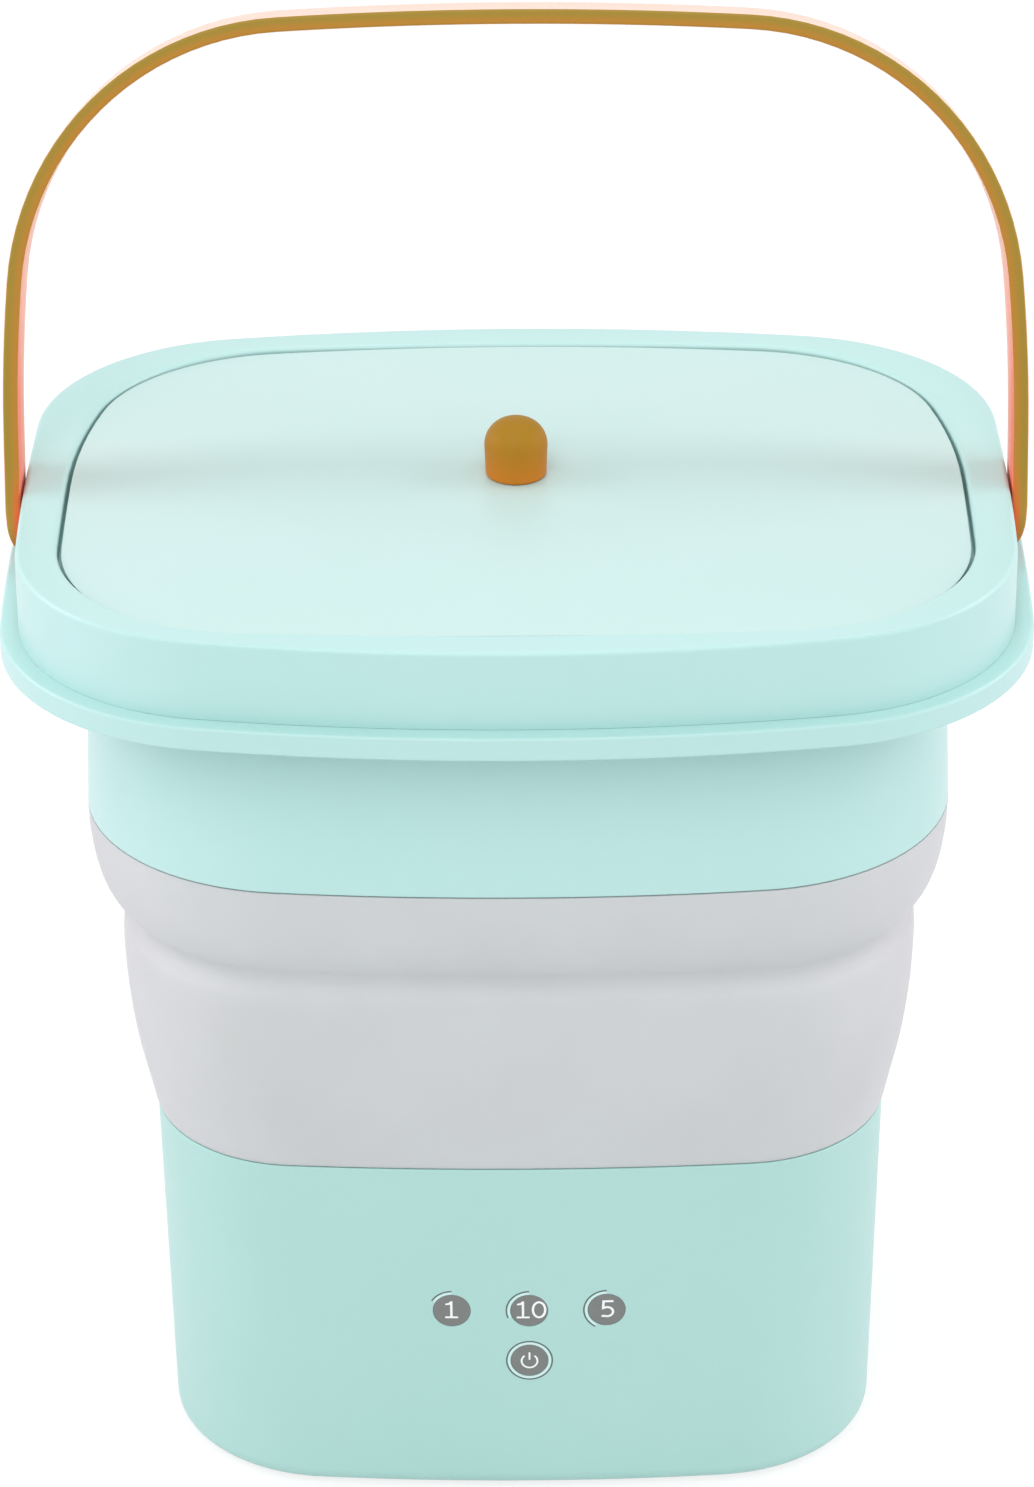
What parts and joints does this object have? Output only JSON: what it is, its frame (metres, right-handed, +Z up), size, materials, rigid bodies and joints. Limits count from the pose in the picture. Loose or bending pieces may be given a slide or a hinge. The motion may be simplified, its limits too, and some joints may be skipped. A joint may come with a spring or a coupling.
{
  "type": "foldable washing machine",
  "caption": "Portable washing machine with a collapsible elastomer tub, flat carrying handle, lift-off lid with a round knob, and touch keys on a drive base.",
  "frame": {"origin": "centre of the footprint at floor height, under the feet", "axes": "+Z up; front face with the touch keys towards -Y; +X to the right seen from the front"},
  "size_m": [0.275, 0.216, 0.4055],
  "materials": {
    "shell_mint": "satin moulded plastic",
    "rim_mint": "glossy moulded plastic",
    "lid_mint": "glossy moulded plastic",
    "bellows_grey": "soft matte elastomer",
    "handle_tan": "satin moulded plastic",
    "knob_tan": "satin moulded plastic",
    "key_face": "flush touch face with printed marks",
    "cover_white": "moulded plastic",
    "basin_white": "moulded plastic",
    "pulsator_white": "glossy moulded plastic",
    "foot_rubber": "matte rubber",
    "seal_rubber": "silicone",
    "screw_steel": "plated steel",
    "motor_steel": "zinc-plated sheet",
    "bearing_steel": "ground steel",
    "magnet_dark": "ferrite",
    "rotor_steel": "laminated steel",
    "cap_black": "moulded plastic",
    "board_green": "circuit board",
    "component_dark": "moulded housings",
    "pad_brass": "plated",
    "lead_black": "insulated lead",
    "pipe_grey": "moulded plastic",
    "plug_grey": "soft elastomer",
    "jack_black": "moulded plastic"
  },
  "bodies": {
    "base": {"base_shell": "shell_mint", "key_one": "key_face", "key_ten": "key_face", "key_five": "key_face", "key_start": "key_face", "base_cover": "cover_white", "feet": "foot_rubber", "cover_screws": "screw_steel", "tub_basin": "basin_white", "shaft_bearing": "bearing_steel", "shaft_seal": "seal_rubber", "motor_bracket": "motor_steel", "motor_can": "motor_steel", "motor_magnets": "magnet_dark", "motor_cap": "cap_black", "bracket_screws": "screw_steel", "motor_screws": "screw_steel", "drain_elbow": "pipe_grey", "drain_outlet": "pipe_grey", "dc_jack": "jack_black", "jack_pin": "pad_brass", "jack_nut": "motor_steel", "control_board": "board_green", "touch_board": "board_green", "board_components": "component_dark", "touch_pads": "pad_brass", "board_screws": "screw_steel", "jack_leads": "lead_black", "motor_leads": "lead_black", "touch_leads": "lead_black", "bellows": "bellows_grey"},
    "upper": {"tub_rim": "rim_mint", "frame_screws": "screw_steel", "top_frame": "rim_mint", "pivot_pins": "screw_steel"},
    "handle": {"handle_strap": "handle_tan"},
    "lid": {"lid_panel": "lid_mint", "lid_gasket": "seal_rubber", "lid_knob": "knob_tan", "knob_screw": "screw_steel"},
    "pulsator_drive": {"pulsator": "pulsator_white", "drive_shaft": "bearing_steel", "motor_rotor": "rotor_steel", "pulsator_screw": "screw_steel"},
    "plug": {"drain_plug": "plug_grey", "plug_seal": "seal_rubber"}
  },
  "joints": [
    {"name": "collapse", "type": "slide", "parent": "base", "child": "upper", "axis": [0, 0, -1], "range_m": [0, 0.118], "deforming": ["bellows"]},
    {"name": "handle_pivot", "type": "hinge", "parent": "upper", "child": "handle", "pos_m": [0, 0, 0.27], "axis": [1, 0, 0], "range_deg": [-75, 105]},
    {"name": "lid_lift", "type": "slide", "parent": "upper", "child": "lid", "axis": [0, 0, 1], "range_m": [0, 0.06]},
    {"name": "pulsator_spin", "type": "hinge", "parent": "base", "child": "pulsator_drive", "pos_m": [0, 0, 0.078], "axis": [0, 0, 1], "continuous": true},
    {"name": "plug_pull", "type": "slide", "parent": "base", "child": "plug", "axis": [0, 1, 0], "range_m": [0, 0.02]}
  ]
}
